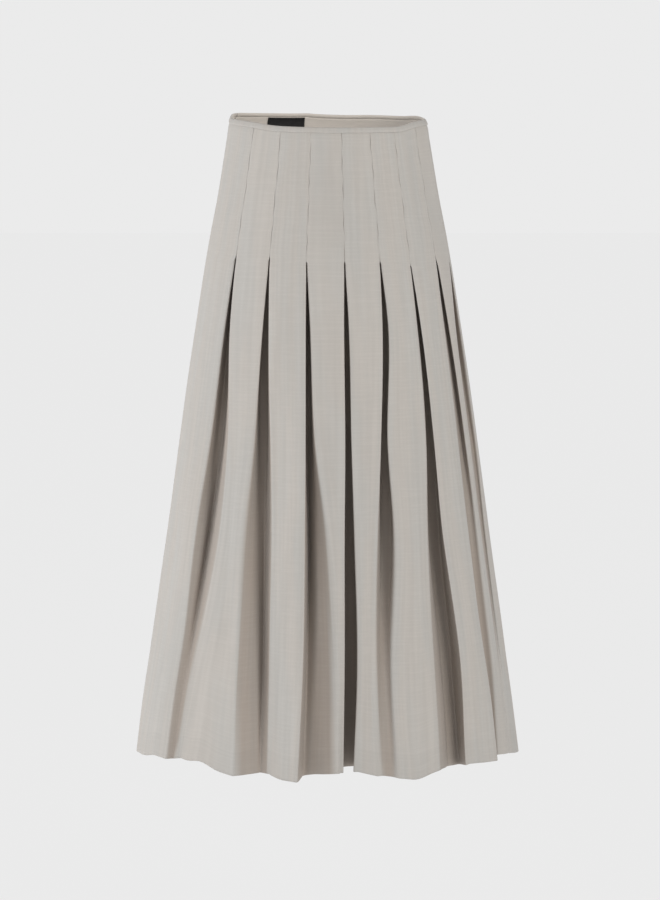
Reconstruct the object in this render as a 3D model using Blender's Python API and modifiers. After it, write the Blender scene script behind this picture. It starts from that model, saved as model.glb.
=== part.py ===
"""A pleated midi skirt, filled out and hanging from its waist.

Metres, +Z up. The origin is the middle of the waist opening, where a wearer holds the skirt up. The
front faces -Y, and angles run round the waist from the front (0) to the viewer's right (90), the back
(180) and the viewer's left (270). The cloth is flat and stitched down the pleats to RELEASE, and
below it every pleat opens into a fold that turns inwards.
"""

import math

import bpy
import bmesh
import numpy as np
from mathutils import Matrix, Vector

MM = 0.001

# ---------------------------------------------------------------- driving sizes
LENGTH = 0.829  # waist to hem at the side seams
RELEASE = 0.178  # mean depth below the waist at which the pleats open
CLOTH = 1.5 * MM  # thickness of the skirt's wall
GAP = 0.3 * MM  # clearance at every seam and between layers
LEFT_SEAM = -106.0  # degrees; the concealed zip is in this seam
RIGHT_SEAM = 93.0
SEAM_FLAT = 5.0  # degrees of flat cloth on each side of a seam

# Outline of the flat cloth: depth below the waist, half width and half depth of the oval (mm)
OUTLINE = (
    # below, half_width, half_depth
    (0, 125.8, 89.3),
    (7, 128.7, 91.9),
    (20, 130.8, 94.3),
    (50, 135.7, 99.5),
    (100, 144.2, 110.5),
    (150, 154.0, 121.7),
    (190, 161.0, 129.7),
    (250, 170.5, 137.7),
    (350, 185.8, 148.8),
    (450, 199.6, 158.7),
    (550, 212.9, 168),
    (650, 226.6, 177),
    (750, 241.0, 186),
    (829, 251.2, 192.8),
)

# Where each pleat opens: its stitched tip, and the two edges of its mouth at five heights (degrees)
MOUTH_HEIGHTS = (250, 410, 520, 690, 829)  # mm below the waist; the last is the hem
MOUTHS = (
    # name, tip, tip_below_mm, then left, right at each height
    ("A", -47.6, 173, -49.5, -47.2, -50.9, -42.9, -54.1, -43.2, -55.0, -49.0, -56.4, -51.2),
    ("B", -27.4, 174, -28.1, -25.9, -28.5, -22.4, -30.0, -20.6, -29.5, -19.3, -28.6, -18.4),
    ("C", -9.7, 179, -9.5, -8.0, -8.3, -4.9, -7.8, -1.2, -7.3, 0.5, -8.5, 1.3),
    ("D", 7.8, 179, 6.9, 8.5, 6.7, 8.6, 6.0, 8.8, 5.5, 9.0, 4.4, 8.0),
    ("E", 24.8, 179, 23.8, 26.0, 20.4, 22.0, 18.2, 22.8, 16.4, 20.8, 15.4, 20.8),
    ("F", 42.0, 184, 42.3, 44.0, 40.4, 44.0, 38.3, 44.1, 37.8, 46.5, 36.5, 44.8),
    ("G", 60.5, 177, 59.4, 62.8, 59.1, 66.2, 59.6, 65.4, 60.3, 64.0, 58.8, 60.9),
    ("H", 80.0, 180, 73.4, 83.5, 69.8, 82.5, 69.3, 77.5, 70.5, 75.5, 70.0, 74.0),
    ("I", 104.0, 178, 103.6, 105.8, 103.7, 108.2, 104.4, 109.2, 105.2, 109.9, 105.8, 110.2),
    ("J", 122.0, 176, 121.7, 123.6, 121.5, 126.4, 121.4, 127.3, 121.1, 128.1, 120.8, 128.4),
    ("K", 140.0, 180, 139.1, 141.4, 138.3, 143.3, 138.2, 143.7, 137.9, 143.6, 137.6, 143.0),
    ("L", 158.0, 177, 157.6, 159.1, 157.0, 160.3, 156.7, 160.6, 156.1, 160.7, 155.6, 160.8),
    ("M", 176.0, 179, 175.4, 176.9, 174.2, 177.6, 173.6, 177.5, 172.9, 177.0, 172.4, 176.4),
    ("N", 194.0, 178, 193.0, 195.0, 191.6, 196.1, 191.0, 196.5, 190.2, 196.9, 189.6, 197.2),
    ("O", 212.0, 176, 210.5, 212.9, 208.9, 213.9, 208.3, 214.0, 207.8, 213.4, 207.6, 212.6),
    ("P", 230.0, 179, 228.6, 231.1, 227.3, 232.7, 227.0, 233.2, 227.1, 232.6, 227.4, 231.6),
)

# How each pleat folds below its mouth, at four heights (mm): how deep its floor's left and right corners
# lie, half the floor's width, and how far the floor leans to the right of the mouth's middle
FOLD_HEIGHTS = (332, 520, 690, 829)
FOLDS = (
    # name, depth_left x4, depth_right x4, half x4, lean x4
    ("A", 25, 12, 10, 9, 25, 25, 13, 9, 7, -3, 1, 2, -21, -19, -6, -1),
    ("B", 36, 14, 20, 14, 36, 46, 40, 22, 6, 2, 1, 1, -17, -7, 2, 9),
    ("C", 42, 46, 38, 32, 42, 20, 17, 16, 4, 6, 7, 8, -6, -8, -12, -13),
    ("D", 42, 50, 56, 60, 42, 50, 56, 60, 10, 12, 13, 14, 2, 4, 5, 5),
    ("E", 38, 34, 11, 1, 38, 34, 11, 1, 8, 8, 5, 6, 14, 12, 3, 0),
    ("F", 28, 31, 29, 26, 28, 31, 29, 26, 7, 12, 16, 16, 22, 26, 31, 27),
    ("G", 19, 11, 6, 3, 19, 11, 6, 3, 7, 5, 3, 2, 19, 7, 3, 1),
    ("H", 18, 8, 4, 3, 18, 8, 4, 3, 6, 5, 4, 3, 18, 9, 4, 1),
    ("I", 34, 38, 34, 30, 34, 30, 26, 22, 8, 7, 7, 6, -8, -10, -9, -8),
    ("J", 38, 28, 24, 18, 38, 45, 40, 32, 8, 5, 4, 3, 10, 9, 9, 9),
    ("K", 40, 46, 44, 40, 40, 30, 26, 24, 8, 8, 8, 7, -10, -12, -12, -12),
    ("L", 42, 50, 52, 52, 42, 50, 52, 52, 10, 11, 12, 12, 0, 2, 2, 2),
    ("M", 42, 52, 56, 58, 42, 52, 56, 58, 10, 12, 13, 13, 2, -1, -3, -4),
    ("N", 40, 48, 42, 36, 40, 28, 24, 22, 9, 7, 7, 7, -8, -10, -11, -12),
    ("O", 38, 27, 24, 22, 38, 45, 42, 36, 8, 5, 4, 4, 12, 10, 10, 9),
    ("P", 34, 34, 26, 18, 34, 38, 32, 24, 8, 6, 5, 4, 12, 9, 5, 2),
)

# How round each pleat's two edges are at the same heights (mm)
EDGE_ROUND = (
    # name, left x4, right x4
    ("A", 5, 3, 3, 3, 3, 9, 5, 3),
    ("B", 3, 5, 3, 3, 3, 3, 3, 3),
    ("C", 3, 3, 3, 3, 3, 4, 4, 3),
    ("D", 3, 3, 3, 3, 3, 3, 3, 3),
    ("E", 3, 3, 5, 8, 3, 4, 7, 9),
    ("F", 3, 3, 9, 12, 3, 3, 3, 3),
    ("G", 3, 3, 3, 3, 6, 6, 5, 4),
    ("H", 3, 4, 4, 4, 5, 6, 5, 4),
    ("I", 3, 3, 3, 3, 4, 5, 5, 4),
    ("J", 5, 6, 3, 3, 3, 3, 3, 3),
    ("K", 3, 3, 3, 3, 4, 5, 5, 5),
    ("L", 3, 3, 3, 3, 3, 3, 3, 3),
    ("M", 3, 3, 3, 3, 3, 3, 3, 3),
    ("N", 3, 3, 3, 3, 5, 7, 6, 5),
    ("O", 5, 6, 3, 3, 3, 3, 3, 3),
    ("P", 3, 3, 3, 3, 6, 7, 7, 6),
)

# How each pleat stands at the hem: its edges' way out of the oval, and how much longer than LENGTH its
# edges and its floor are (mm)
HEM_EDGES = (
    # name, proud_left, proud_right, longer_left, longer_right, floor_longer
    ("A", 2, -6, -8, -9, 0),
    ("B", 3, -8, 1, -2, -2),
    ("C", 7, -4, 4, -4, -2),
    ("D", -2, -6, -5, -7, 6),
    ("E", -2, 2, -1, 1, 0),
    ("F", 5, -2, -5, -6, 8),
    ("G", 3, -2, -6, -4, 0),
    ("H", 2, -4, -3, -5, 0),
    ("I", 2, -2, -3, -2, 2),
    ("J", 4, -4, 2, -4, 1),
    ("K", 2, -5, -3, -2, 3),
    ("L", 5, 1, 1, 2, 4),
    ("M", -3, 3, -4, 1, 5),
    ("N", 6, -4, 3, -3, 2),
    ("O", -2, 4, -4, 0, 4),
    ("P", 3, -3, -2, -5, 1),
)

# Where the hem sags between the pleats, or rises (less than 0)
HEM_SAGS = (
    # degrees, half width in degrees, longer (mm)
    (-66, 5, -2.4),
    (-40.8, 4.6, -6.5),
    (-14, 4, 2.4),
    (26.8, 4.4, 6.3),
    (66.5, 2.6, -10),
    (96, 6, -3),
    (116, 5, 3),
    (133, 4, -4),
    (150, 5, 3),
    (184, 5, -4),
    (203, 5, 3),
    (221, 5, -3),
    (240, 5, 3),
)

# Depths of the rings of points below the waist (mm)
LEVELS = (0, 14, 45, 95, 140, 176, 192, 222, 270, 332, 410, 482, 554, 630, 705, 770, 829)
PANEL_POINTS = 3  # points on the flat cloth between two pleats
FRONT_END_POINTS = (7, 1)  # on the front's cloth from the left seam to its first pleat, and from its last
BACK_END_POINTS = (1, 1)
STITCH_SPREAD = (-7.0, -5.0, -3.0, -1.0, 1.0, 3.0, 5.0, 7.0)  # mm from a closed pleat's line to its points
STITCH_WIDTH = 2.4 * MM  # width of that line, and of a pleat's mouth where it opens
STITCH_GROOVE = 0.5 * MM  # how far the line is drawn in
STITCH_FROM = 48 * MM  # below the waist, where the drawn line starts
TIP_DEPTH_RISE = 30 * MM  # height over which a fold takes its depth below its tip
EDGE_REACH = 3  # beside a pleat's edge the cloth runs straight for this many times the edge's roundness
EDGE_SHARE = 0.3  # an edge's roundness takes at most this share of the cloth beside it
CORNER_SHARE = 0.45  # and this share of either side of the corner
FLOOR_ROUND = 4 * MM  # how round a fold's inner corners are
LEAST_HALF = 2  # mm, least half of a fold's floor
EDGE_FADE = 0.35  # share of the pleat's height over which its edges take their stand at the hem
FOLD_HEM_RISE = 0.05  # the hem rises by this share of a fold's depth
HEM_RISE_FROM = 0.6  # share of LENGTH from which it rises
RIM = (
    # degrees, height of the waist edge (mm)
    (-167, 7.4),
    (-157, 7.2),
    (-147, 7.4),
    (-138, 7.5),
    (-127, 7.6),
    (-114, 7.8),
    (-103, 6.8),
    (-94, 3.6),
    (-84, 0.4),
    (-68, -0.8),
    (-50, -4.0),
    (-34, -8.4),
    (-14, -10.4),
    (36, -10.4),
    (42, -10.2),
    (47, -9.2),
    (52.5, -7.4),
    (58, -5.0),
    (64, -3.2),
    (73, -1.6),
    (86, -0.8),
    (98, 0.8),
    (112, 3.8),
    (130, 3.8),
    (153, 5.1),
    (172, 5.2),
    (186, 6.3),
    (193, 7.4),
)
RIM_FADE = 110 * MM  # the rings are level from here down

BINDING_HEIGHT = 4.8 * MM
BINDING_INSIDE = 2.6 * MM  # height of its inner leg
BINDING_WALL = 1.0 * MM
FACING_TOP = 3.1 * MM  # below the waist edge
FACING_BOTTOM = 38.0 * MM
FACING_WALL = 1.0 * MM
LABEL_FROM, LABEL_TO = 194.4, 219.0  # degrees
LABEL_TOP, LABEL_BOTTOM = 3.9 * MM, 17.5 * MM
LABEL_WALL = 0.8 * MM
TAPE_HALF_WIDTH = 10 * MM
TAPE_LEVELS = (42 * MM, 95 * MM, 140 * MM, 172 * MM)
TAPE_WALL = 1.0 * MM
TAPE_GAP = 0.6 * MM
THIN_APART = 2.5 * MM  # strips at the waist skip panel points closer than this

SLIDER_BELOW = 11.5 * MM  # middle of the slider below the waist
SLIDER_SIZE = (4.4 * MM, 1.2 * MM, 8.0 * MM)  # across, thick, along the seam
EAR_THICK = 0.8 * MM
PIN_HEIGHT = 1.6 * MM  # above the slider's face
PIN_RADIUS = 0.4 * MM
EYE_BORE = 0.65 * MM
EYE_RADIUS = 1.25 * MM
EYE_WIDTH = 2.0 * MM
PULL_LENGTH = 15 * MM
PULL_WIDTH = 4.4 * MM
PULL_THICK = 0.8 * MM
PIN_ALONG = 1.5 * MM  # above the slider's middle
EAR_CLEAR = 0.2 * MM
EAR_OVER = 0.6 * MM  # the ears reach this far past the pin's middle
EAR_LENGTH = 2.4 * MM
SLIDER_EDGE = 0.3 * MM  # how much its edges are broken
TAB_NECK = (0.9 * MM, 1.8 * MM)  # half width and length of the pull's neck
TAB_END_STEPS = 8
ROUND_SIDES = 16

MATERIALS = {
    # name: colour, roughness, metallic
    "skirt_cloth": ((0.48, 0.45, 0.40, 1), 0.9, 0.0),
    "facing_cloth": ((0.44, 0.39, 0.35, 1), 0.7, 0.0),
    "label_weave": ((0.012, 0.011, 0.010, 1), 0.5, 0.0),
    "zip_tape": ((0.46, 0.43, 0.38, 1), 0.8, 0.0),
    "zip_metal": ((0.42, 0.40, 0.36, 1), 0.35, 0.6),
}


def columns(rows):
    """Turns rows of (name, number, ...) into one array of numbers, a row per pleat."""
    return np.array([row[1:] for row in rows], dtype=float)


def smooth(stations, values, at):
    """A smooth curve through values at the stations: a cubic in each stretch, whose slope at a station
    is that of the line between its neighbours. values may hold a row per pleat."""
    stations = np.asarray(stations, float)
    values = np.asarray(values, float)
    slopes = np.gradient(values, stations, axis=-1)
    at = np.clip(at, stations[0], stations[-1])
    i = np.minimum(np.searchsorted(stations, at, side="right") - 1, len(stations) - 2)
    h = stations[i + 1] - stations[i]
    s = (at - stations[i]) / h
    return (
        (1 + 2 * s) * (1 - s) ** 2 * values[..., i]
        + s * (1 - s) ** 2 * h * slopes[..., i]
        + s**2 * (3 - 2 * s) * values[..., i + 1]
        + s**2 * (s - 1) * h * slopes[..., i + 1]
    )


def ease(x):
    """Rises from 0 to 1 as x does, level at both ends."""
    x = np.clip(x, 0, 1)
    return x * x * (3 - 2 * x)


def oval(below):
    """Half width and half depth of the flat cloth at a depth below the waist, in metres."""
    table = np.array(OUTLINE, dtype=float) * MM
    return smooth(table[:, 0], table[:, 1], below), smooth(table[:, 0], table[:, 2], below)


def on_oval(angle, inwards, half_width, half_depth):
    """x and y of points at angles (degrees) round the oval, moved inwards along its normal."""
    a = np.radians(angle)
    across, along = np.sin(a), -np.cos(a)
    nx, ny = across / half_width, along / half_depth
    size = np.hypot(nx, ny)
    return half_width * across - inwards * nx / size, half_depth * along - inwards * ny / size


def rim_height(angle):
    """Height of the waist edge round the waist: low at the front, high at the back."""
    table = np.array(RIM, dtype=float)
    start = table[0, 0]
    return smooth(table[:, 0], table[:, 1], (angle - start) % 360 + start) * MM


def rounded(corners, radii):
    """Cuts each inner corner of a line in two, a radius away from it along both of its sides, so the
    line turns in two steps. The radius is at most CORNER_SHARE of the shorter side."""
    points = []
    for i in range(1, len(corners) - 1):
        before, here, after = corners[i - 1], corners[i], corners[i + 1]
        sides = [before - here, after - here]
        lengths = [max(np.linalg.norm(side), 1e-9) for side in sides]
        radius = min([radii[i - 1]] + [CORNER_SHARE * length for length in lengths])
        points += [here + side / length * radius for side, length in zip(sides, lengths)]
    return points


def hem_fade(below):
    """Rises from 0 to 1 towards the hem."""
    return ease((below - LENGTH) / (EDGE_FADE * (LENGTH - RELEASE)) + 1)


def hem_sag(angle, below):
    """How much the cloth hangs below a level hem at angles round the oval."""
    sag = np.zeros_like(angle)
    for middle, half_width, longer in HEM_SAGS:
        turn = (angle - middle + 180) % 360 - 180
        sag += longer * MM * np.exp(-((turn / half_width) ** 2))
    return sag * hem_fade(below)


def pleat_state(below):
    """Every pleat's mouth, fold and edges at one level: a dict of arrays, one value per pleat."""
    mouths, folds, edges, roundness = (columns(rows) for rows in (MOUTHS, FOLDS, HEM_EDGES, EDGE_ROUND))
    tip_angle, tip_below = mouths[:, 0], mouths[:, 1] * MM
    stations = np.array([RELEASE, *(height * MM for height in MOUTH_HEIGHTS)])
    left = smooth(stations, np.column_stack([tip_angle, mouths[:, 2::2]]), below)
    right = smooth(stations, np.column_stack([tip_angle, mouths[:, 3::2]]), below)
    below_tip = np.maximum(below - tip_below, 0)
    formed = (1 - np.exp(-below_tip / TIP_DEPTH_RISE)) * MM

    def size(table, first):
        at = [RELEASE, *(height * MM for height in FOLD_HEIGHTS)]
        return smooth(at, table[:, [first, first, first + 1, first + 2, first + 3]], below)

    fade = hem_fade(below)
    return {
        "left": left,
        "right": right,
        "open": below_tip > 0,
        "depth_left": size(folds, 0) * formed,
        "depth_right": size(folds, 4) * formed,
        "half": np.maximum(size(folds, 8), LEAST_HALF) * formed,
        "lean": size(folds, 12) * formed,
        "round_left": size(roundness, 0) * MM,
        "round_right": size(roundness, 4) * MM,
        "proud_left": edges[:, 0] * MM * fade,
        "proud_right": edges[:, 1] * MM * fade,
        "longer_left": edges[:, 2] * MM * fade,
        "longer_right": edges[:, 3] * MM * fade,
        "floor_longer": edges[:, 4] * MM * fade,
    }


def fold_points(state, k, below, half_width, half_depth):
    """Eight points across pleat k as (angle, inwards, longer): two at each of its four corners."""
    middle = (state["left"][k] + state["right"][k]) / 2
    a = math.radians(middle)
    metres_per_degree = math.hypot(half_width * math.cos(a), half_depth * math.sin(a)) * math.pi / 180
    width = max((state["right"][k] - state["left"][k]) * metres_per_degree, STITCH_WIDTH)
    half = state["half"][k]
    if not state["open"][k]:
        groove = STITCH_GROOVE if below > STITCH_FROM else 0.0
        across = np.array(STITCH_SPREAD) * MM
        inwards = np.where(np.abs(across) < STITCH_WIDTH / 2, groove, 0.0)
        return middle + across / metres_per_degree, inwards, np.zeros_like(across)
    floor = width / 2 + state["lean"][k]
    gap_left = (state["left"][k] - state["right"][k - 1]) % 360 * metres_per_degree
    gap_right = (state["left"][(k + 1) % len(MOUTHS)] - state["right"][k]) % 360 * metres_per_degree
    round_left = min(state["round_left"][k], EDGE_SHARE * gap_left)
    round_right = min(state["round_right"][k], EDGE_SHARE * gap_right)
    reach = EDGE_REACH * max(round_left, round_right)
    corners = np.array(
        [
            (-reach, -state["proud_left"][k]),
            (0, -state["proud_left"][k]),
            (floor - half, state["depth_left"][k]),
            (floor + half, state["depth_right"][k]),
            (width, -state["proud_right"][k]),
            (width + reach, -state["proud_right"][k]),
        ]
    )
    radii = (round_left, FLOOR_ROUND, FLOOR_ROUND, round_right)
    points = np.array(rounded(corners, radii))
    share = np.clip(points[:, 0] / width, 0, 1)
    longer = (1 - share) * state["longer_left"][k] + share * state["longer_right"][k]
    deepest = max(state["depth_left"][k], state["depth_right"][k], STITCH_WIDTH)
    longer += np.clip(points[:, 1] / deepest, 0, 1) * state["floor_longer"][k]
    angle = middle + (points[:, 0] - width / 2) / metres_per_degree
    return angle, points[:, 1], longer


def panel_points(edge, next_edge, count):
    """Points on the flat cloth between two edges. Each edge gives its angle, how proud of the oval it
    stands and how much longer than LENGTH it is; each point gives its angle, inwards and longer."""
    share = np.arange(1, count + 1) / (count + 1)
    angle, proud, longer = (a + (b - a) * share for a, b in zip(edge, next_edge))
    return angle, -proud, longer


def ring(below):
    """The front's and the back's outer points at one level, each from seam to seam, as two arrays of
    x, y, z. The first and last point of each lie in the middle of the flat cloth at a seam."""
    half_width, half_depth = oval(below)
    state = pleat_state(below)

    def half(pleats, start, end, end_points):
        edge = (start + SEAM_FLAT, 0.0, 0.0)
        pieces = [np.array(edge)[:, None]]
        points = end_points[0]
        for k in pleats:
            fold = fold_points(state, k, below, half_width, half_depth)
            left_edge = (fold[0][0], state["proud_left"][k], state["longer_left"][k])
            pieces += [panel_points(edge, left_edge, points), fold]
            edge = (fold[0][-1], state["proud_right"][k], state["longer_right"][k])
            points = PANEL_POINTS
        last = (end - SEAM_FLAT, 0.0, 0.0)
        pieces += [panel_points(edge, last, end_points[1]), np.array(last)[:, None]]
        angle, inwards, longer = (np.concatenate(values) for values in zip(*pieces))
        x, y = on_oval(angle, inwards, half_width, half_depth)
        slope = rim_height(angle) * ease(1 - below / RIM_FADE)
        hem = ease((below / LENGTH - HEM_RISE_FROM) / (1 - HEM_RISE_FROM))
        z = -below + slope - longer + FOLD_HEM_RISE * np.maximum(inwards, 0) * hem - hem_sag(angle, below)
        return np.column_stack([x, y, z])

    count = len(MOUTHS)
    front = half(range(count // 2), LEFT_SEAM, RIGHT_SEAM, FRONT_END_POINTS)
    back = half(range(count // 2, count), RIGHT_SEAM, LEFT_SEAM + 360, BACK_END_POINTS)
    return with_seam_edges(front, back)


def with_seam_edges(front, back):
    """Carries both halves to the seams: each gets an end point half a gap short of the middle of the
    flat facet that joins them."""
    ends = []
    for one, other in ((back[-1], front[0]), (front[-1], back[0])):
        middle = (one + other) / 2
        step = (other - one) / np.linalg.norm(other - one) * GAP / 2
        ends.append((middle - step, middle + step))
    (back_end, front_start), (front_end, back_start) = ends
    return np.vstack([front_start, front, front_end]), np.vstack([back_start, back, back_end])


def grid_object(name, rows, material, wall, collection):
    """A sheet through rows of points, with the wall's thickness laid on its inner side. Rows run from
    top to bottom and each row's points run anticlockwise seen from above, so faces point outwards."""
    rows = np.asarray(rows)
    levels, count = rows.shape[:2]
    bm = bmesh.new()
    verts = [[bm.verts.new(point) for point in row] for row in rows]
    for i in range(levels - 1):
        for j in range(count - 1):
            bm.faces.new((verts[i][j], verts[i + 1][j], verts[i + 1][j + 1], verts[i][j + 1]))
    mesh = bpy.data.meshes.new(name)
    bm.to_mesh(mesh)
    bm.free()
    mesh.shade_smooth()
    obj = bpy.data.objects.new(name, mesh)
    obj.data.materials.append(material)
    collection.objects.link(obj)
    shell = obj.modifiers.new("wall", "SOLIDIFY")
    shell.thickness = wall
    shell.offset = -1
    shell.use_even_offset = True
    return obj


def unit(vectors):
    """Vectors of length 1 along rows of vectors."""
    return vectors / np.linalg.norm(vectors, axis=1)[:, None]


class WaistLine:
    """The skirt's outer surface just below the waist edge, from the left seam round to it again: a
    thinned run of the panels' own points on the top three rings, with the way down and the way out
    of the two bands of cloth between them."""

    def __init__(self, rings):
        runs = [np.vstack([front[:-1], back[1:]]) for front, back in rings[:3]]
        kept = [0]
        for i in range(1, len(runs[0]) - 1):
            if np.linalg.norm(runs[0][i] - runs[0][kept[-1]]) > THIN_APART:
                kept.append(i)
        kept.append(len(runs[0]) - 1)
        top, middle, low = (run[kept] for run in runs)
        half_width, half_depth = oval(0)
        angle = np.degrees(np.arctan2(top[:, 0] / half_width, -top[:, 1] / half_depth))
        self.angle = np.where(angle < LEFT_SEAM, angle + 360, angle)
        self.angle[0], self.angle[-1] = LEFT_SEAM, LEFT_SEAM + 360
        self.top = top
        self.band = np.linalg.norm(middle - top, axis=1)
        self.down = [unit(middle - top), unit(low - middle)]
        self.out = [unit(np.cross(np.gradient(top, axis=0), -down)) for down in self.down]

    def points(self, angles, below, outwards):
        """Points at angles, a way below the waist edge along the cloth and a way out of it."""
        past = np.maximum(below - self.band, 0)[:, None]
        share = np.clip(below / self.band, 0, 1)[:, None]
        spots = self.top + self.down[0] * (np.broadcast_to(below, self.band.shape)[:, None] - past)
        spots += self.down[1] * past + (self.out[0] * (1 - share) + self.out[1] * share) * outwards
        return np.column_stack([np.interp(angles, self.angle, spots[:, i]) for i in range(3)])

    def between(self, start, end):
        """The line's own angles from start to end, with both."""
        inside = self.angle[(self.angle > start) & (self.angle < end)]
        return np.concatenate([[start], inside, [end]])


def seam_frame(rings, below):
    """A place in the middle of the left seam as a matrix: x to the right seen from outside, -y outwards
    and z up along the cloth, with its origin on the cloth's outer face."""
    i = max(j for j in range(len(LEVELS) - 1) if LEVELS[j] * MM <= below)
    share = (below / MM - LEVELS[i]) / (LEVELS[i + 1] - LEVELS[i])
    front = [rings[j][0] for j in (i, i + 1)]
    back = [rings[j][1] for j in (i, i + 1)]
    middle = [(f[0] + b[-1]) / 2 for f, b in zip(front, back)]
    right = [f[1] - b[-2] for f, b in zip(front, back)]
    origin = Vector(middle[0] * (1 - share) + middle[1] * share)
    across = Vector(right[0] * (1 - share) + right[1] * share).normalized()
    up = Vector(middle[0] - middle[1])
    up = (up - across * up.dot(across)).normalized()
    inward = up.cross(across)
    frame = Matrix((across, inward, up)).transposed().to_4x4()
    frame.translation = origin
    return frame


def box(name, size, centre, frame, collection, bevel=0.0):
    """A box by its size and the place of its middle in a frame."""
    bm = bmesh.new()
    bmesh.ops.create_cube(bm, size=1.0, matrix=Matrix.Diagonal((*size, 1.0)))
    return placed(name, bm, centre, frame, collection, bevel)


def rod(name, radius, length, centre, frame, collection):
    """A cylinder along the frame's x."""
    bm = bmesh.new()
    turn = Matrix.Rotation(math.pi / 2, 4, "Y")
    bmesh.ops.create_cone(
        bm, cap_ends=True, segments=ROUND_SIDES, radius1=radius, radius2=radius, depth=length, matrix=turn
    )
    return placed(name, bm, centre, frame, collection)


def placed(name, bm, centre, frame, collection, bevel=0.0):
    mesh = bpy.data.meshes.new(name)
    bm.to_mesh(mesh)
    bm.free()
    obj = bpy.data.objects.new(name, mesh)
    collection.objects.link(obj)
    obj.matrix_world = frame @ Matrix.Translation(centre)
    if bevel:
        edge = obj.modifiers.new("edge", "BEVEL")
        edge.width = bevel
        edge.segments = 1
    return obj


def combine(obj, other, operation):
    """Adds another shape to an object or cuts it away, and keeps the other as a guide."""
    step = obj.modifiers.new(other.name, "BOOLEAN")
    step.operation = operation
    step.object = other
    other.hide_render = True
    other.display_type = "WIRE"


def make_binding(line, material, collection):
    """A strip folded over the waist edge: down the outside, over the top and down the inside."""
    stand = GAP + BINDING_WALL
    path = (
        (BINDING_INSIDE, -CLOTH - stand),
        (-stand, -CLOTH - stand),
        (-stand, stand),
        (BINDING_HEIGHT, stand),
    )
    rows = [line.points(line.angle, below, outwards) for below, outwards in path]
    return grid_object("waist_binding", rows, material, BINDING_WALL, collection)


def make_facing(line, material, collection):
    """A smooth strip against the inside of the cloth, below the binding."""
    inside = -CLOTH - GAP
    rows = [line.points(line.angle, below, inside) for below in (FACING_TOP, line.band, FACING_BOTTOM)]
    return grid_object("waist_facing", rows, material, FACING_WALL, collection)


def make_label(line, material, collection):
    """A small woven rectangle on the facing, at the back."""
    inside = -CLOTH - FACING_WALL - 2 * GAP
    angles = line.between(LABEL_FROM, LABEL_TO)
    rows = [line.points(angles, below, inside) for below in (LABEL_TOP, line.band, LABEL_BOTTOM)]
    return grid_object("label", rows, material, LABEL_WALL, collection)


def make_zip_tape(rings, material, collection):
    """The zip's tape, against the inside of the cloth on both sides of the left seam."""
    rows = []
    for below in TAPE_LEVELS:
        frame = seam_frame(rings, below)
        sides = (-TAPE_HALF_WIDTH, 0, TAPE_HALF_WIDTH)
        rows.append([frame @ Vector((side, CLOTH + TAPE_GAP, 0)) for side in sides])
    return grid_object("zip_tape", rows, material, TAPE_WALL, collection)


def make_zip(rings, material, collection, guides):
    """The slider at the top of the closed zip, and the pull that hangs from its pin."""
    frame = seam_frame(rings, SLIDER_BELOW)
    across, thick, along = SLIDER_SIZE
    face = GAP + thick
    pin = Vector((0, -(face + PIN_HEIGHT), PIN_ALONG))
    slider = box("zip_slider", SLIDER_SIZE, Vector((0, -GAP - thick / 2, 0)), frame, collection, SLIDER_EDGE)
    slider.data.materials.append(material)
    ear_height = PIN_HEIGHT + EAR_OVER + thick / 2
    for side in (-1, 1):
        centre = Vector((side * (EYE_WIDTH / 2 + EAR_CLEAR + EAR_THICK / 2), 0, PIN_ALONG))
        centre.y = -(face + PIN_HEIGHT + EAR_OVER - ear_height / 2)
        ear = box(f"ear_{side}", (EAR_THICK, ear_height, EAR_LENGTH), centre, frame, guides)
        combine(slider, ear, "UNION")
    pin_length = EYE_WIDTH + 2 * EAR_CLEAR + EAR_THICK
    combine(slider, rod("pin", PIN_RADIUS, pin_length, pin, frame, guides), "UNION")

    pull_frame = frame @ Matrix.Translation(pin)
    pull = rod("zip_pull", EYE_RADIUS, EYE_WIDTH, Vector(), pull_frame, collection)
    pull.data.materials.append(material)
    combine(pull, tab("tab", pull_frame, guides), "UNION")
    combine(pull, rod("eye", EYE_BORE, 2 * EYE_WIDTH, Vector(), pull_frame, guides), "DIFFERENCE")


def tab(name, frame, collection):
    """The pull's drop-shaped plate, hanging from the frame's origin: a narrow neck between the ears,
    then a blade whose lower end is half a circle."""
    neck, neck_length = TAB_NECK
    half = PULL_WIDTH / 2
    low = -(PULL_LENGTH - half)
    turns = [math.pi * i / TAB_END_STEPS for i in range(TAB_END_STEPS + 1)]
    outline = [(-neck, 0), (-neck, -neck_length)]
    outline += [(-half * math.cos(t), low - half * math.sin(t)) for t in turns]
    outline += [(neck, -neck_length), (neck, 0)]
    bm = bmesh.new()
    face = bm.faces.new([bm.verts.new((x, -PULL_THICK / 2, z)) for x, z in outline])
    made = bmesh.ops.extrude_face_region(bm, geom=[face])["geom"]
    moved = [v for v in made if isinstance(v, bmesh.types.BMVert)]
    bmesh.ops.translate(bm, verts=moved, vec=(0, PULL_THICK, 0))
    bmesh.ops.recalc_face_normals(bm, faces=bm.faces)
    return placed(name, bm, Vector(), frame, collection)


def plain_material(name):
    colour, roughness, metallic = MATERIALS[name]
    material = bpy.data.materials.new(name)
    material.use_nodes = True
    shader = material.node_tree.nodes["Principled BSDF"]
    shader.inputs["Base Color"].default_value = colour
    shader.inputs["Roughness"].default_value = roughness
    shader.inputs["Metallic"].default_value = metallic
    material.diffuse_color = colour
    return material


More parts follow.
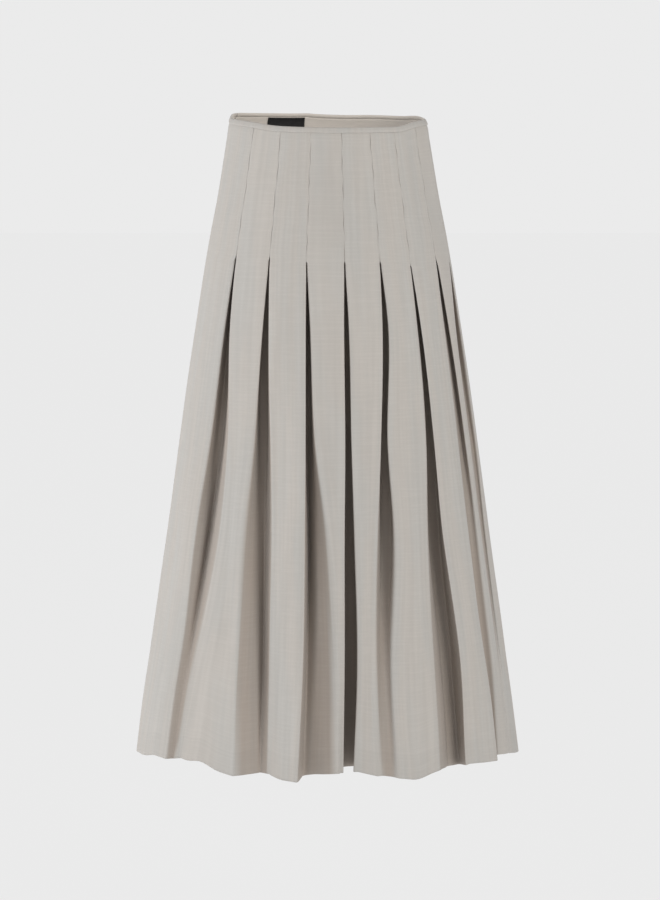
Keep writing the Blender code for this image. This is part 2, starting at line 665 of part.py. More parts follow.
def main():
    for obj in list(bpy.data.objects):
        bpy.data.objects.remove(obj, do_unlink=True)
    skirt = bpy.data.collections.new("pleated_midi_skirt")
    guides = bpy.data.collections.new("guides")
    for collection in (skirt, guides):
        bpy.context.scene.collection.children.link(collection)
    cloth = plain_material("skirt_cloth")
    rings = [ring(level * MM) for level in LEVELS]
    grid_object("skirt_front", [front for front, _ in rings], cloth, CLOTH, skirt)
    grid_object("skirt_back", [back for _, back in rings], cloth, CLOTH, skirt)
    line = WaistLine(rings)
    make_binding(line, cloth, skirt)
    make_facing(line, plain_material("facing_cloth"), skirt)
    make_label(line, plain_material("label_weave"), skirt)
    make_zip_tape(rings, plain_material("zip_tape"), skirt)
    make_zip(rings, plain_material("zip_metal"), skirt, guides)


main()
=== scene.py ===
"""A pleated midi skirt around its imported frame: the pleated cloth of front and back, the bound and faced
waist with its bare label, and the concealed zip with its small pull."""

import math

import bpy
import numpy as np
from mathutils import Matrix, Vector


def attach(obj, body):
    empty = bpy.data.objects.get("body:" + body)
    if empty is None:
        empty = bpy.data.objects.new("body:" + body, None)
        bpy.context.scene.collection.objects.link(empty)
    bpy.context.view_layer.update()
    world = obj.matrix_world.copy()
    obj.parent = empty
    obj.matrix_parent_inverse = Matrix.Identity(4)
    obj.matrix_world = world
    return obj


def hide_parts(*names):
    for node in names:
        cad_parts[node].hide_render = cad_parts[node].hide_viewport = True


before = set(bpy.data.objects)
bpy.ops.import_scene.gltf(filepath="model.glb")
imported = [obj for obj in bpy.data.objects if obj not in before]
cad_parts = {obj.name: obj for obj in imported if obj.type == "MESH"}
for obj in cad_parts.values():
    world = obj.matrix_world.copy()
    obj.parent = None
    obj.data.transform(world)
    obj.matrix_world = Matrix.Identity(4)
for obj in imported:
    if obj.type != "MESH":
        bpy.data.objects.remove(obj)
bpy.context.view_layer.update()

# ---------------------------------------------------------------------- front and back
# Two panels of light twill suiting meet at the side seams. Each has eight pleats, stitched shut from the
# waist to the hip and open below it, where every pleat folds inwards. The hem is turned up inside.

MM = 0.001
LENGTH = 829 * MM  # waist to hem at the side seams
RELEASE = 178 * MM  # where the pleats open
LEFT_SEAM, RIGHT_SEAM = -106.0, 93.0  # degrees round the waist: front 0, viewer's right 90
SEAM_FLAT = 5.0  # degrees of flat cloth on each side of a seam
CLOTH = 0.55 * MM
CAD_CLOTH = 1.5 * MM  # the wall that the facing and the tape lie against

# half width and half depth of the flat cloth's oval at a depth below the waist (mm)
OUTLINE = np.array((
    # below, half_width, half_depth
    (0, 125.8, 89.3),
    (7, 128.7, 91.9),
    (20, 130.8, 94.3),
    (50, 135.7, 99.5),
    (100, 144.2, 110.5),
    (150, 154.0, 121.7),
    (190, 161.0, 129.7),
    (250, 170.5, 137.7),
    (350, 185.8, 148.8),
    (450, 199.6, 158.7),
    (550, 212.9, 168),
    (650, 226.6, 177),
    (750, 241.0, 186),
    (829, 251.2, 192.8),
)) * MM

# where each pleat's stitching ends, and the left and right edge of its mouth (degrees) at MOUTH_HEIGHTS
MOUTH_HEIGHTS = (250 * MM, 410 * MM, 520 * MM, 690 * MM, LENGTH)
MOUTHS = np.array((
    # tip, tip_below_mm, then left, right at each height
    (-48.2, 173, -49.6, -47.2, -50.7, -41.3, -53.3, -41.2, -53.8, -47.2, -55.3, -51.1),
    (-28.1, 174, -28.6, -26.4, -28.8, -22.4, -30.2, -20.6, -29.5, -19.3, -28.6, -18.4),
    (-10.0, 179, -9.5, -8.0, -8.3, -4.9, -7.9, -0.7, -7.7, 2.2, -8.7, 2.6),
    (7.5, 179, 6.9, 8.5, 6.5, 8.6, 5.8, 8.9, 5.2, 9.0, 4.5, 7.3),
    (24.4, 179, 23.8, 26.0, 20.2, 22.6, 17.6, 23.2, 15.2, 20.2, 15.2, 20.6),
    (40.9, 184, 41.2, 42.9, 40.0, 44.0, 37.3, 44.1, 35.1, 47.1, 33.8, 45.7),
    (60.5, 177, 59.4, 62.8, 58.9, 65.0, 59.0, 66.0, 60.0, 65.4, 59.2, 61.6),
    (80.0, 180, 73.4, 81.5, 69.8, 80.5, 69.3, 76.5, 70.5, 75.5, 70.0, 74.0),
    (104.0, 178, 103.6, 105.8, 103.7, 108.2, 104.4, 109.2, 105.2, 109.9, 105.8, 110.2),
    (122.0, 176, 121.7, 123.6, 121.5, 126.4, 121.4, 127.3, 121.1, 128.1, 120.8, 128.4),
    (140.0, 180, 139.1, 141.4, 138.3, 143.3, 138.2, 143.7, 137.9, 143.6, 137.6, 143.0),
    (158.0, 177, 157.6, 159.1, 157.0, 160.3, 156.7, 160.6, 156.1, 160.7, 155.6, 160.8),
    (176.0, 179, 175.4, 176.9, 174.2, 177.6, 173.6, 177.5, 172.9, 177.0, 172.4, 176.4),
    (194.0, 178, 193.0, 195.0, 191.6, 196.1, 191.0, 196.5, 190.2, 196.9, 189.6, 197.2),
    (212.0, 176, 210.5, 212.9, 208.9, 213.9, 208.3, 214.0, 207.8, 213.4, 207.6, 212.6),
    (230.0, 179, 228.6, 231.1, 227.3, 232.7, 227.0, 233.2, 227.1, 232.6, 227.4, 231.6),
))

# how each pleat folds at FOLD_HEIGHTS: how deep the left and the right corner of its floor lie, half the
# floor's width, and how far the floor leans to the right (mm)
FOLD_HEIGHTS = (332 * MM, 520 * MM, 690 * MM, LENGTH)
FOLDS = np.array((
    # depth_left x4, depth_right x4, half x4, lean x4
    (25, 13, 5, 2, 25, 26, 7, 2, 7, -3, 1, 2, -21, -19, -6, -1),
    (30, 30, 18, 12, 36, 38, 30, 14, 6, 2, 1, 1, -17, -7, 2, 9),
    (38, 46, 30, 20, 42, 20, 17, 16, 4, 6, 7, 8, -6, -8, -12, -13),
    (42, 50, 56, 60, 42, 50, 56, 60, 10, 12, 13, 14, 2, 4, 5, 5),
    (34, 34, 12, 6, 34, 29, 11, 5, 8, 8, 5, 6, 14, 12, 3, 0),
    (22, 31, 34, 31, 22, 31, 34, 31, 7, 12, 12, 12, 22, 25, 27, 25),
    (9, 8, 9, 5, 9, 8, 9, 5, 7, 5, 3, 2, 19, 7, 3, 1),
    (9, 4, 3, 2, 9, 4, 3, 2, 6, 5, 4, 3, 18, 9, 4, 1),
    (34, 38, 34, 30, 34, 30, 26, 22, 8, 7, 7, 6, -8, -10, -9, -8),
    (38, 28, 24, 18, 38, 45, 40, 32, 8, 5, 4, 3, 10, 9, 9, 9),
    (40, 46, 44, 40, 40, 30, 26, 24, 8, 8, 8, 7, -10, -12, -12, -12),
    (42, 50, 52, 52, 42, 50, 52, 52, 10, 11, 12, 12, 0, 2, 2, 2),
    (42, 52, 56, 58, 42, 52, 56, 58, 10, 12, 13, 13, 2, -1, -3, -4),
    (40, 48, 42, 36, 40, 28, 24, 22, 9, 7, 7, 7, -8, -10, -11, -12),
    (38, 27, 24, 22, 38, 45, 42, 36, 8, 5, 4, 4, 12, 10, 10, 9),
    (34, 34, 26, 18, 34, 38, 32, 24, 8, 6, 5, 4, 12, 9, 5, 2),
))

# how round the two edges of each mouth are at FOLD_HEIGHTS (mm)
EDGE_ROUND = np.array((
    # left x4, right x4
    (5, 2, 2, 2, 2, 6, 8, 4),
    (3, 5, 2, 2, 2, 2, 2, 2),
    (2, 2, 2, 2, 3, 4, 7, 8),
    (2, 2, 2, 2, 2, 3, 4, 4),
    (2, 2, 5, 8, 3, 6, 8, 9),
    (2, 3, 3, 3, 2, 2, 2, 2),
    (3, 3, 3, 3, 6, 6, 5, 4),
    (3, 4, 4, 4, 5, 6, 5, 4),
    (2, 2, 2, 2, 4, 5, 5, 4),
    (5, 6, 2, 2, 2, 2, 2, 2),
    (2, 2, 2, 2, 4, 5, 5, 5),
    (2, 2, 2, 2, 3, 3, 3, 3),
    (3, 3, 3, 3, 2, 2, 2, 2),
    (2, 2, 2, 2, 5, 7, 6, 5),
    (5, 6, 3, 2, 2, 2, 2, 2),
    (3, 3, 3, 3, 6, 7, 7, 6),
))

# how the two edges of each pleat stand at the hem, proud of the oval and longer than LENGTH, and how much
# longer the fold's floor hangs between them (mm)
HEM_EDGES = np.array((
    # proud_left, proud_right, longer_left, longer_right, floor_longer
    (5, -6, -9.5, -11.5, 0),
    (3, -8, 1, -2, -1),
    (7, 1, 4, -6, -2),
    (-5, -6, -6, -7, 6),
    (-2, 2, -1, 1, 0),
    (5, -6, -5, -6, 6),
    (5, -1, -6, -11.5, 0),
    (0, -4, -9.5, -6, 0),
    (2, -2, -3, -2, 2),
    (4, -4, 2, -4, 1),
    (2, -5, -3, -2, 3),
    (5, 1, 1, 2, 4),
    (-3, 3, -4, 1, 5),
    (6, -4, 3, -3, 2),
    (-2, 4, -4, 0, 4),
    (3, -3, -2, -5, 1),
)) * MM

# where the hem dips or lifts besides, each a bell curve round the hem
HEM_SAGS = (
    # degrees, half width in degrees, longer (mm)
    (-62, 5, -3.4),
    (-40.8, 4.6, -6.5),
    (-14, 4, 2.4),
    (26.8, 4.4, 6.3),
    (96, 6, -3),
    (116, 5, 3),
    (133, 4, -4),
    (150, 5, 3),
    (184, 5, -4),
    (203, 5, 3),
    (221, 5, -3),
    (240, 5, 3),
)

# the main soft creases, each along a line from its top to its bottom: ridges stand out, troughs sink in
CREASES = (
    # top: degrees, mm below; bottom: degrees, mm below; half width mm; height mm
    (-84, 470, -96, 829, 22, 1.6),
    (-70, 420, -78, 829, 16, -1.8),
    (-56, 300, -57.5, 829, 24, 3.2),
    (-38, 420, -35.5, 700, 9, -1.5),
    (-29.5, 350, -28.6, 829, 16, 3.0),
    (-45, 560, -46, 829, 12, -1.0),
    (-21.5, 300, -17.5, 829, 20, -4.8),
    (-8.8, 250, -8.5, 829, 22, 5.0),
    (-17, 380, -14, 829, 7, 1.0),
    (-14.5, 520, -11, 829, 6, -1.0),
    (-2, 600, 1.5, 829, 5, 0.9),
    (2, 260, 1, 620, 8, 1.0),
    (12, 420, 10.5, 829, 7, 1.2),
    (14.5, 300, 13, 700, 6, -0.9),
    (24.4, 560, 23.6, 829, 7, -1.6),
    (31.2, 340, 31.3, 829, 13, 4.2),
    (49, 420, 51, 829, 8, -1.2),
    (54.2, 360, 56, 829, 11, 3.0),
    (67.5, 300, 66, 829, 7, 1.0),
    (84, 350, 82, 829, 10, 1.3),
    (98, 330, 99.5, 829, 9, 1.2),
    (114, 290, 116, 829, 9, -1.4),
    (117.5, 420, 113, 829, 9, 1.2),
    (132.5, 360, 134, 829, 9, 1.4),
    (150, 300, 147, 760, 9, -1.3),
    (153.5, 470, 152, 829, 8, 1.2),
    (167, 320, 165, 829, 10, 1.3),
    (184, 380, 187, 829, 8, -1.5),
    (181.5, 560, 181, 829, 7, 1.1),
    (202, 300, 203, 829, 9, 1.3),
    (204.5, 520, 200, 829, 7, -1.2),
    (221, 340, 220, 829, 9, 1.2),
    (239, 420, 241, 829, 12, -1.6),
    (246, 350, 249, 829, 14, 1.5),
)

GROOVE_WIDTH = 0.9 * MM  # of a stitched pleat's line
GROOVE_DEPTH = 0.9 * MM
GROOVE_HALF = GROOVE_WIDTH / 5  # half its floor
GROOVE_EVEN, GROOVE_UNEVEN = 0.65, 0.35  # shares of its depth that are steady and that come and go
WANDER, WANDER_WAVE = 0.17, 11 * MM  # degrees and a length: how the stitched line wavers
WANDER_FADE = 25 * MM  # height over which it stops wavering at RELEASE
TIP_RISE = 14 * MM  # height over which a fold reaches its depth below its stitching
EDGE_REACH = 3  # beside an edge the cloth runs straight for this many times the edge's roundness
EDGE_SHARE = 0.3  # an edge's roundness takes at most this share of the cloth beside it
CORNER_SHARE = 0.45  # and this share of either side of the corner
FLOOR_ROUND = 4 * MM
ARC_POINTS = 4  # along each rounded corner of a fold
EDGE_FADE = 0.35  # share of the pleats' height over which their edges take their stand at the hem
FOLD_HEM_RISE = 0.05  # how much shorter the cloth hangs at the hem for each metre that it lies inwards
HEM_RISE_FROM = 0.6  # share of the length at which that begins
RIM = np.array((
    # degrees, height of the waist edge (mm)
    (-167, 7.4),
    (-157, 7.2),
    (-147, 7.4),
    (-138, 7.5),
    (-127, 7.6),
    (-114, 7.8),
    (-103, 7.5),
    (-94, 5.2),
    (-84, 1.2),
    (-68, -0.8),
    (-50, -4.0),
    (-34, -8.4),
    (-14, -10.4),
    (36, -10.4),
    (42, -10.2),
    (47, -9.2),
    (52.5, -7.4),
    (58, -5.0),
    (64, -3.2),
    (73, -1.6),
    (86, -0.8),
    (98, 0.8),
    (112, 3.8),
    (130, 3.8),
    (153, 5.1),
    (172, 5.2),
    (186, 6.3),
    (193, 7.4),
))
RIM_FADE = 110 * MM  # depth over which the rise and fall of the waist edge fade out
RIPPLES = (
    # height in mm, waves round the skirt, radians down each metre, phase: unevenness of the hanging cloth
    (0.5, 17, 9, 0.6),
    (0.35, 31, -14, 2.1),
    (0.25, 53, 21, 4.0),
    (0.2, 23, 38, 0.0),
)
CREASE_IN, CREASE_OUT = 0.4, 0.25  # shares of a crease's line over which it fades in and out again
SEAM_GAP = 0.3 * MM
SEAM_DIP = 0.9 * MM  # how far a panel's edge turns in at a seam
SEAM_SHARES = (0.45, 0.85, 0.96)  # where columns lie on the way to the middle of a seam
HEM_TURN = 1.2 * MM  # from the cloth's face to its turned-up edge
SHADE_FROM, SHADE_OVER = 0.3 * MM, 1.0 * MM  # inside a fold the painted shade begins at this depth and grows to full over this
CRISP = 2 * MM  # roundness of a crisp edge

# how far below the waist each row of the cloth lies
BELOW = np.concatenate([
    np.linspace(0, 160, 33),
    np.linspace(163, 205, 15),
    np.linspace(211, 797, 98),
    np.linspace(801, 829, 8),
]) * MM
HEM_ROWS = 8  # the last rows, which the hem's turned-up edge follows back up
MIDDLE_ROW = int(np.searchsorted(BELOW, MOUTH_HEIGHTS[2]))
COUNT = len(MOUTHS)
PANEL_COLUMNS = 9


def turn_from(angle, middle):
    """Degrees from the middle to the angle, the short way round."""
    return (angle - middle + 180) % 360 - 180


def curve(stations, values, at):
    """A smooth curve through values at the stations: a cubic in each stretch, whose slope at a station is
    that of the line between its neighbours. values may hold a row for each of several curves."""
    stations, values = np.asarray(stations, float), np.asarray(values, float)
    slopes = np.gradient(values, stations, axis=-1)
    at = np.clip(at, stations[0], stations[-1])
    i = np.minimum(np.searchsorted(stations, at, side="right") - 1, len(stations) - 2)
    h = stations[i + 1] - stations[i]
    s = (at - stations[i]) / h
    return (
        (1 + 2 * s) * (1 - s) ** 2 * values[..., i]
        + s * (1 - s) ** 2 * h * slopes[..., i]
        + s**2 * (3 - 2 * s) * values[..., i + 1]
        + s**2 * (s - 1) * h * slopes[..., i + 1]
    )


def ease(x):
    """Rises from 0 to 1 as x does, level at both ends."""
    x = np.clip(x, 0, 1)
    return x * x * (3 - 2 * x)


def near_hem(below):
    """Rises from 0 to 1 over EDGE_FADE of the pleats' height, down to the hem."""
    return ease((below - LENGTH) / (EDGE_FADE * (LENGTH - RELEASE)) + 1)


def rim_height(angle):
    """Height of the waist edge: a smooth curve round the waist through RIM."""
    return curve(RIM[:, 0], RIM[:, 1], (angle - RIM[0, 0]) % 360 + RIM[0, 0]) * MM


def on_cloth(angle, inwards, below, longer=0.0):
    """x, y, z of points at an angle round the oval at a depth below the waist, moved inwards along the
    oval's normal and lengthened downwards. The waist edge's rise and fall fade out below it."""
    half_width = curve(OUTLINE[:, 0], OUTLINE[:, 1], below)
    half_depth = curve(OUTLINE[:, 0], OUTLINE[:, 2], below)
    a = np.radians(angle)
    nx, ny = np.sin(a) / half_width, -np.cos(a) / half_depth
    size = np.hypot(nx, ny)
    return np.stack([
        half_width * np.sin(a) - inwards * nx / size,
        -half_depth * np.cos(a) - inwards * ny / size,
        -below - longer + rim_height(angle) * ease(1 - below / RIM_FADE),
    ], axis=-1)


def metres_per_degree(angle, below):
    """How far a degree is along the oval: the root of the squares of half_width by the angle's cosine
    and half_depth by its sine, for a degree of turn."""
    a = np.radians(angle)
    half_width = curve(OUTLINE[:, 0], OUTLINE[:, 1], below)
    half_depth = curve(OUTLINE[:, 0], OUTLINE[:, 2], below)
    return np.hypot(half_width * np.cos(a), half_depth * np.sin(a)) * math.pi / 180


def at_heights(heights, values, start):
    """A value of every pleat on each row, through its start at RELEASE and its values at the heights."""
    return curve((RELEASE, *heights), np.column_stack([start, values]), BELOW)


def fold_size(first):
    """A size in FOLDS of every pleat on each row, from its four columns after first."""
    return at_heights(FOLD_HEIGHTS, FOLDS[:, first : first + 4], FOLDS[:, first]) * MM


def stitch_wave(rate, shift):
    """A wave down every pleat's stitched line, at a rate times that of WANDER_WAVE and shifted by so many
    radians from each pleat to the next."""
    return np.sin(rate * BELOW / WANDER_WAVE + shift * np.arange(COUNT)[:, None])


wander = WANDER * (stitch_wave(1, 2.3) + stitch_wave(2.7, 1.1)) * ease((RELEASE - BELOW) / WANDER_FADE)
groove = GROOVE_DEPTH * (GROOVE_EVEN + GROOVE_UNEVEN * stitch_wave(1.7, -1.9))
LEFT = at_heights(MOUTH_HEIGHTS, MOUTHS[:, 2::2], MOUTHS[:, 0]) + wander
RIGHT = at_heights(MOUTH_HEIGHTS, MOUTHS[:, 3::2], MOUTHS[:, 0]) + wander
FORMED = 1 - np.exp(-np.maximum(BELOW - MOUTHS[:, 1:2] * MM, 0) / TIP_RISE)
DEPTH_LEFT = groove + (fold_size(0) - groove) * FORMED
DEPTH_RIGHT = groove + (fold_size(4) - groove) * FORMED
HALF = GROOVE_HALF + (fold_size(8) - GROOVE_HALF) * FORMED
LEAN = fold_size(12) * FORMED
ROUND_LEFT = at_heights(FOLD_HEIGHTS, EDGE_ROUND[:, :4], EDGE_ROUND[:, 0]) * MM
ROUND_RIGHT = at_heights(FOLD_HEIGHTS, EDGE_ROUND[:, 4:], EDGE_ROUND[:, 4]) * MM
STAND = near_hem(BELOW)


def fold_section(k):
    """Pleat k on every row, as its angle, how far inwards, how much longer, and its share of painted shade:
    its two edges and the two corners of its floor are parabolas between points on the straight cloth beside
    them, with walls and floor between. The painted shade rises from 0 to 1 within the line from edge to
    edge, later and more slowly beside a rounder edge."""
    middle = (LEFT[k] + RIGHT[k]) / 2
    scale = metres_per_degree(middle, BELOW)
    width = np.maximum((RIGHT[k] - LEFT[k]) * scale, GROOVE_WIDTH)
    beside_left = (LEFT[k] - RIGHT[k - 1]) % 360 * scale
    beside_right = (LEFT[(k + 1) % COUNT] - RIGHT[k]) % 360 * scale
    round_left = np.minimum(ROUND_LEFT[k], EDGE_SHARE * beside_left)
    round_right = np.minimum(ROUND_RIGHT[k], EDGE_SHARE * beside_right)
    reach = EDGE_REACH * np.maximum(round_left, round_right)
    floor = width / 2 + LEAN[k]
    proud_left, proud_right, longer_left, longer_right, floor_longer = HEM_EDGES[k][:, None] * STAND
    across = np.stack([-reach, 0 * reach, floor - HALF[k], floor + HALF[k], width, width + reach], axis=1)
    floor_depth = [DEPTH_LEFT[k], DEPTH_RIGHT[k]]
    inwards = np.stack([-proud_left, -proud_left, *floor_depth, -proud_right, -proud_right], axis=1)
    corners = np.stack([across, inwards], axis=-1)
    here = corners[:, 1:-1]
    back, on = corners[:, :-2] - here, corners[:, 2:] - here
    back_length = np.linalg.norm(back, axis=-1, keepdims=True)
    on_length = np.linalg.norm(on, axis=-1, keepdims=True)
    floor_round = np.full_like(width, FLOOR_ROUND)
    radius = np.stack([round_left, floor_round, floor_round, round_right], axis=1)[..., None]
    radius = np.minimum(radius, CORNER_SHARE * np.minimum(back_length, on_length))
    first, last = here + back / back_length * radius, here + on / on_length * radius
    t = np.linspace(0, 1, ARC_POINTS)[:, None]
    arcs = [
        (1 - t) ** 2 * first[:, i, None] + 2 * t * (1 - t) * here[:, i, None] + t**2 * last[:, i, None]
        for i in range(here.shape[1])
    ]

    def straight(i, steps):
        share = (np.arange(1, steps + 1) / (steps + 1))[:, None]
        return last[:, i, None] * (1 - share) + first[:, i + 1, None] * share

    points = [arcs[0], straight(0, 2), arcs[1], straight(1, 1), arcs[2], straight(2, 2), arcs[3]]
    points = np.concatenate(points, axis=1)
    share = np.clip(points[..., 0] / width[:, None], 0, 1)
    longer = (1 - share) * longer_left[:, None] + share * longer_right[:, None]
    into = np.clip(points[..., 1] / np.maximum(DEPTH_LEFT[k], DEPTH_RIGHT[k])[:, None], 0, 1)
    longer = longer + into * floor_longer[:, None]
    angle = middle[:, None] + (points[..., 0] - width[:, None] / 2) / scale[:, None]
    inside = points[..., 1] + (1 - share) * proud_left[:, None] + share * proud_right[:, None]
    soft = (1 - share) * ROUND_LEFT[k][:, None] + share * ROUND_RIGHT[k][:, None] - CRISP
    # painted shade: the share of the darker fold colour, growing with the depth inside the fold
    fold_shade = ease((inside - SHADE_FROM - soft / 4) / (SHADE_OVER + soft / 2))
    return angle, points[..., 1], longer, fold_shade


def flat_section(edge, next_edge, count):
    """The flat cloth between two edges on every row. An edge is its angle, proud and longer."""
    share = np.arange(1, count + 1) / (count + 1)
    angle, proud, longer = (a[:, None] + (b - a)[:, None] * share for a, b in zip(edge, next_edge))
    return angle, -proud, longer, 0 * proud


def drape(angle, below):
    """How far the hanging cloth stands out, in metres: the creases, each a bell curve across a line that
    fades in at its top and out at its bottom, and the ripples, each a wave aslant round the skirt, which
    grow from nothing at RELEASE to their full height at the hem."""
    out = np.zeros_like(angle)
    for top, top_below, bottom, bottom_below, half_width, height in CREASES:
        along = (below / MM - top_below) / (bottom_below - top_below)
        line = top + (bottom - top) * np.clip(along, 0, 1)
        away = turn_from(angle, line) * metres_per_degree(angle, below) / (half_width * MM)
        fade = ease(along / CREASE_IN) * ease((1 - along) / CREASE_OUT)
        out += height * MM * np.exp(-away**2) * fade
    grow = ease((below - RELEASE) / (LENGTH - RELEASE))
    for height, waves, slant, phase in RIPPLES:
        out += height * MM * grow * np.sin(waves * np.radians(angle) + slant * below + phase)
    return out


def hem_sag(angle, below):
    """How much longer the cloth hangs where the hem dips, in metres: the sum of the bell curves."""
    longer = np.zeros_like(angle)
    for middle, half_width, sag in HEM_SAGS:
        longer += sag * MM * np.exp(-((turn_from(angle, middle) / half_width) ** 2))
    return longer * near_hem(below)


def cloth_grid(pleats, start, end, end_columns):
    """One panel's outer face from seam to seam as a grid of points, and each point's share of the painted
    shade
    inside its fold: the folds with the flat cloth between them, moved outwards by drape and down by the sags
    of the hem."""
    ones = np.ones_like(BELOW)
    edge = ((start + SEAM_FLAT) * ones, 0 * ones, 0 * ones)
    pieces = [tuple(value[:, None] for value in (*edge, 0 * ones))]
    columns = end_columns[0]
    for k in pleats:
        fold = fold_section(k)
        proud_left, proud_right, longer_left, longer_right = HEM_EDGES[k][:4, None] * STAND
        pieces += [flat_section(edge, (fold[0][:, 0], proud_left, longer_left), columns), fold]
        edge = (fold[0][:, -1], proud_right, longer_right)
        columns = PANEL_COLUMNS
    last = ((end - SEAM_FLAT) * ones, 0 * ones, 0 * ones)
    pieces += [flat_section(edge, last, end_columns[1]), tuple(value[:, None] for value in (*last, 0 * ones))]
    angle, inwards, longer, fold_shade = (np.concatenate(values, axis=1) for values in zip(*pieces))
    below = np.broadcast_to(BELOW[:, None], angle.shape)
    near_seam = np.minimum(angle - angle[:, :1], angle[:, -1:] - angle) / SEAM_FLAT
    inwards = inwards - drape(angle, below) * ease(near_seam)
    hem = ease((below / LENGTH - HEM_RISE_FROM) / (1 - HEM_RISE_FROM))
    longer = longer + hem_sag(angle, below) - FOLD_HEM_RISE * np.maximum(inwards, 0) * hem
    points = on_cloth(angle, inwards, below, longer)
    return points, fold_shade


def unit(vectors):
    """The vectors scaled to a length of 1."""
    return vectors / np.linalg.norm(vectors, axis=-1, keepdims=True)


def seam_columns(inner, middle):
    """Columns from a panel's last points to the middle of the seam, where the edge turns in."""
    share = np.array(SEAM_SHARES)[:, None]
    into = middle - inner
    inside = unit(-np.stack([middle[:, 0], middle[:, 1], 0 * middle[:, 0]], axis=-1))
    steps = inner[:, None] + into[:, None] * share
    edge = middle - unit(into) * SEAM_GAP / 2 + inside * SEAM_DIP
    return np.concatenate([steps, edge[:, None]], axis=1)


def normals(points):
    """Unit normals of a grid of points, outwards: across the columns times up the rows."""
    normal = np.cross(np.gradient(points, axis=1), -np.gradient(points, axis=0))
    return normal / np.maximum(np.linalg.norm(normal, axis=-1, keepdims=True), 1e-12)


def turned_up(points):
    """The grid with its hem turned up: round below the hem, then up again inside the last rows."""
    inside = -normals(points)
    hem = points[-1] + inside[-1] * HEM_TURN / 2
    hem[:, 2] -= HEM_TURN / 3
    up = (points + inside * HEM_TURN)[-HEM_ROWS:][::-1]
    up[0, :, 2] += HEM_TURN / 3
    return np.concatenate([points, hem[None], up])


def cloth_uv(points):
    """Metres across the panel, as at its middle row, and metres down it: the threads follow the folds."""
    step = np.linalg.norm(np.diff(points[MIDDLE_ROW], axis=0), axis=-1)
    across = np.concatenate([[0], np.cumsum(step)])
    turned = 2 * BELOW[-1] - BELOW[-HEM_ROWS:][::-1] + HEM_TURN
    down = np.concatenate([BELOW, [BELOW[-1] + HEM_TURN / 2], turned])
    return np.stack(np.meshgrid(across, down), axis=-1)


def grid_piece(name, points, uv, wall, fold_shade=None):
    """A piece of cloth through a grid of points: quads between neighbours, facing outwards when rows run
    downwards and columns anticlockwise seen from above, and a wall laid on the inside. The last argument,
    if given, is each point's share of the painted shade inside its fold, kept on the mesh as an attribute."""
    rows, columns = points.shape[:2]
    index = np.arange(rows * columns).reshape(rows, columns)
    quads = np.stack([index[:-1, :-1], index[1:, :-1], index[1:, 1:], index[:-1, 1:]], axis=-1)
    quads = quads.reshape(-1, 4)
    mesh = bpy.data.meshes.new(name)
    mesh.from_pydata(points.reshape(-1, 3).tolist(), [], quads.tolist())
    layer = mesh.uv_layers.new(name="cloth")
    layer.data.foreach_set("uv", uv.reshape(-1, 2)[quads.ravel()].ravel())
    # each point's share of painted shade inside its fold, read by the material
    if fold_shade is not None:
        mesh.attributes.new("fold_shade", "FLOAT", "POINT").data.foreach_set("value", fold_shade.ravel())
    mesh.shade_smooth()
    piece = bpy.data.objects.new(name, mesh)
    bpy.context.scene.collection.objects.link(piece)
    shell = piece.modifiers.new("wall", "SOLIDIFY")
    shell.thickness = wall
    shell.offset = -1
    if fold_shade is not None:
        shell.material_offset = 1  # the cloth's reverse
    return piece


class Nodes:
    """A material's nodes, linked as they are added. look holds numbers and colours of its shader."""

    def __init__(self, name, **look):
        self.material = bpy.data.materials.new(name)
        self.material.use_nodes = True
        self.tree = self.material.node_tree
        self.shader = self.tree.nodes["Principled BSDF"]
        for key, value in look.items():
            self.shade(key.replace("_", " "), value)

    def shade(self, socket, value):
        """Gives an input of the shader a value or a link."""
        self.feed(self.shader.inputs[socket], value)

    def add(self, kind, settings=None, **inputs):
        node = self.tree.nodes.new("ShaderNode" + kind)
        for key, value in (settings or {}).items():
            setattr(node, key, value)
        for key, value in inputs.items():
            self.feed(node.inputs[key], value)
        return node

    def feed(self, socket, value):
        if isinstance(value, bpy.types.NodeSocket):
            self.tree.links.new(value, socket)
        else:
            socket.default_value = value

    def math(self, operation, a, b=0.0):
        node = self.add("Math", {"operation": operation})
        self.feed(node.inputs[0], a)
        self.feed(node.inputs[1], b)
        return node.outputs[0]

    def ramp(self, value, low, high, out_low, out_high):
        """Eases from out_low to out_high as the value goes from low to high."""
        node = self.add("MapRange", {"interpolation_type": "SMOOTHSTEP"})
        for socket, number in zip(node.inputs, (value, low, high, out_low, out_high)):
            self.feed(socket, number)
        return node.outputs[0]

    def mix(self, share, first, second):
        """From the first colour to the second as the share goes from 0 to 1."""
        node = self.add("Mix", {"data_type": "RGBA"})
        for place, value in ((0, share), (6, first), (7, second)):  # its sockets for colours are 6 and 7
            self.feed(node.inputs[place], value)
        return node.outputs[2]

    def tint(self, colour, factor):
        """The colour with each channel multiplied by a factor."""
        node = self.add("VectorMath", {"operation": "SCALE"})
        self.feed(node.inputs[0], colour)
        self.feed(node.inputs["Scale"], factor)
        return node.outputs[0]

    def cloth_place(self):
        """Where a point lies on the flat cloth, in metres."""
        return self.add("UVMap", {"uv_map": "cloth"}).outputs[0]

    def two_ways(self, place):
        """How far along each of the cloth's two ways a place is."""
        return self.add("SeparateXYZ", Vector=place).outputs[:2]

    def threads(self, place, one_way, other_way, detail):
        """Noise that changes so many times to the metre along each of the cloth's two ways."""
        stretched = self.add("Mapping", Vector=place, Scale=(one_way, other_way, 1)).outputs[0]
        return self.add("TexNoise", Vector=stretched, Scale=1.0, Detail=detail).outputs[0]

    def ribs(self, distance, pitch):
        """A wave between -1 and 1 that repeats at every pitch."""
        return self.math("SINE", self.math("MULTIPLY", distance, 2 * math.pi / pitch))

    def raise_by(self, height, strength, distance):
        """Roughens the surface by a height."""
        bump = self.add("Bump", Height=height, Strength=strength, Distance=distance)
        self.shade("Normal", bump.outputs[0])


